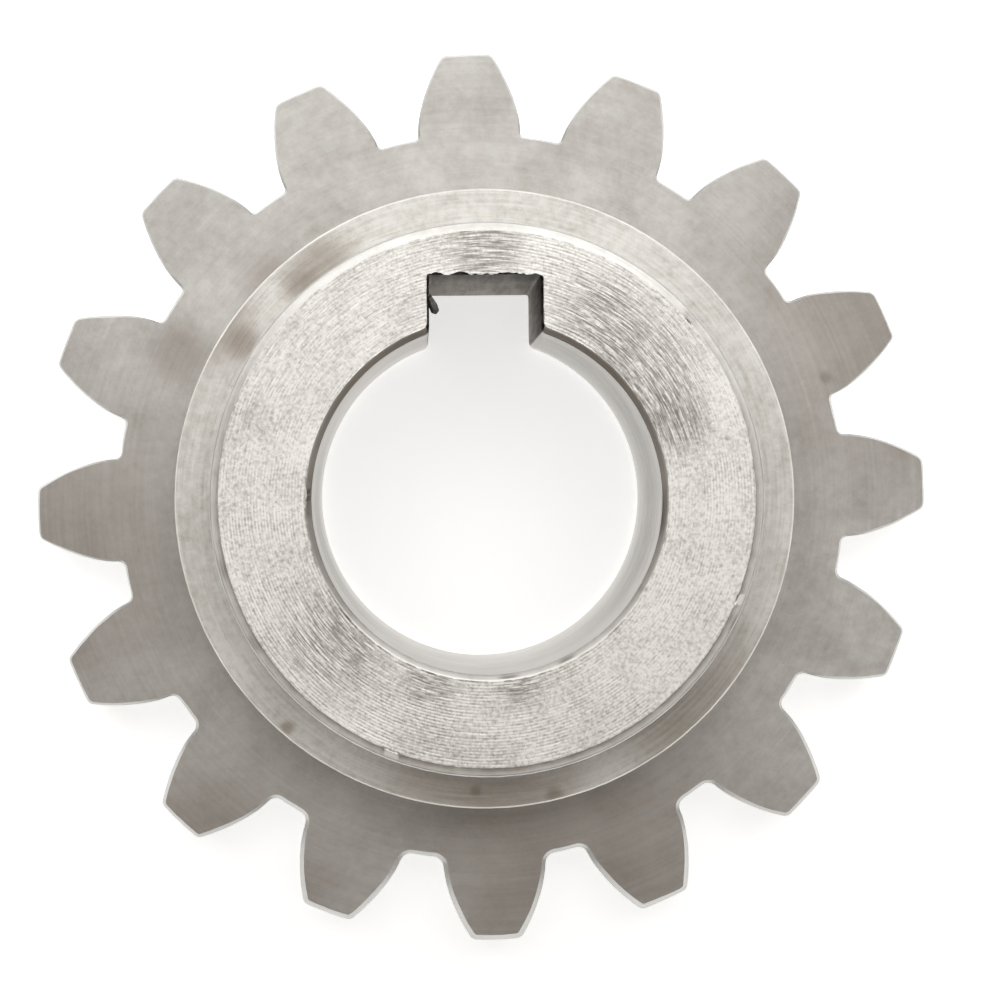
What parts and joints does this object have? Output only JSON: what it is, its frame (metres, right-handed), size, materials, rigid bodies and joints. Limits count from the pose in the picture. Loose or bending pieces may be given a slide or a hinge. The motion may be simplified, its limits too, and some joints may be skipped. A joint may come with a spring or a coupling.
{
  "type": "pinion gear",
  "caption": "Straight-toothed steel pinion with a long stepped hub on one side, a plain round bore and a single keyway right through.",
  "frame": {"origin": "centre of the bore at the back face of the toothed disc, on which the part rests", "axes": "+Z along the bore from the toothed disc towards the hub's face, +Y from the bore's axis towards the keyway, +X across the keyway"},
  "size_m": [0.0682, 0.0682, 0.034],
  "materials": {
    "machined_steel": "bare carbon steel, hub face coarsely turned, collar smooth turned, toothed disc dull, edges broken by hand"
  },
  "bodies": {
    "root": {"pinion_gear": "machined_steel"}
  },
  "joints": []
}
